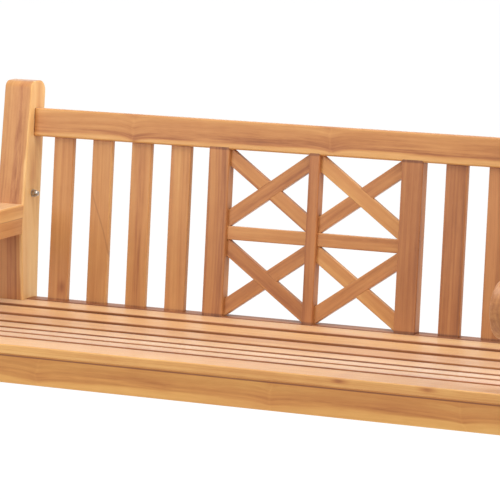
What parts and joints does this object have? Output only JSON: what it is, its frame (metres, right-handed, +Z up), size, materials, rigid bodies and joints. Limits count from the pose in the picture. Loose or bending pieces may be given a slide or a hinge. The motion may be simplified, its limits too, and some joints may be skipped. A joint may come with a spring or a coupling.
{
  "type": "hanging bench swing seat",
  "caption": "Hanging wooden garden swing seat with a slatted, dished seat, scrolled arms, and a slatted back with crossed panels in the middle.",
  "frame": {"origin": "middle of the seat's footprint, in width and in depth, on the plane of the underside", "axes": "+X to the right seen from the front, along the bench; +Y to the rear; +Z up"},
  "size_m": [1.536, 0.6833, 0.526],
  "materials": {
    "teak": "oiled, smooth",
    "stainless": "satin"
  },
  "bodies": {
    "seat": {"arm_left": "teak", "arm_right": "teak", "back_slat_1": "teak", "back_slat_2": "teak", "back_slat_3": "teak", "back_slat_4": "teak", "back_slat_5": "teak", "back_slat_6": "teak", "back_slat_7": "teak", "back_slat_8": "teak", "centre_stile": "teak", "crossed_bar_lower_left_falling": "teak", "crossed_bar_lower_left_rising": "teak", "crossed_bar_lower_right_falling": "teak", "crossed_bar_lower_right_rising": "teak", "crossed_bar_upper_left_falling": "teak", "crossed_bar_upper_left_rising": "teak", "crossed_bar_upper_right_falling": "teak", "crossed_bar_upper_right_rising": "teak", "eye_bolt_cap_nuts": "stainless", "eye_bolt_front_left": "stainless", "eye_bolt_front_right": "stainless", "eye_bolt_rear_left": "stainless", "eye_bolt_rear_right": "stainless", "eye_bolt_washers": "stainless", "front_apron": "teak", "front_post_left": "teak", "front_post_right": "teak", "mid_rail_left": "teak", "mid_rail_right": "teak", "rear_post_left": "teak", "rear_post_right": "teak", "rear_seat_rail": "teak", "seat_bearer_1": "teak", "seat_bearer_2": "teak", "seat_bearer_3": "teak", "seat_slat_1": "teak", "seat_slat_2": "teak", "seat_slat_3": "teak", "seat_slat_4": "teak", "seat_slat_5": "teak", "seat_slat_6": "teak", "seat_slat_7": "teak", "side_seat_rail_left": "teak", "side_seat_rail_right": "teak", "top_back_rail": "teak", "wide_stile_left": "teak", "wide_stile_right": "teak"},
    "shackle_rear_left_body": {"shackle_rear_left": "stainless", "shackle_pin_rear_left": "stainless"},
    "shackle_rear_right_body": {"shackle_rear_right": "stainless", "shackle_pin_rear_right": "stainless"},
    "shackle_front_left_body": {"shackle_front_left": "stainless", "shackle_pin_front_left": "stainless"},
    "shackle_front_right_body": {"shackle_front_right": "stainless", "shackle_pin_front_right": "stainless"}
  },
  "joints": [
    {"name": "shackle_rear_left_swing", "type": "hinge", "parent": "seat", "child": "shackle_rear_left_body", "pos_m": [-0.757, 0.282, 0.29], "axis": [0, 1, 0], "range_deg": [-20, 180]},
    {"name": "shackle_rear_right_swing", "type": "hinge", "parent": "seat", "child": "shackle_rear_right_body", "pos_m": [0.757, 0.282, 0.29], "axis": [0, -1, 0], "range_deg": [-20, 180]},
    {"name": "shackle_front_left_swing", "type": "hinge", "parent": "seat", "child": "shackle_front_left_body", "pos_m": [-0.757, -0.228, 0.141], "axis": [0, 1, 0], "range_deg": [-20, 180]},
    {"name": "shackle_front_right_swing", "type": "hinge", "parent": "seat", "child": "shackle_front_right_body", "pos_m": [0.757, -0.228, 0.141], "axis": [0, -1, 0], "range_deg": [-20, 180]}
  ]
}
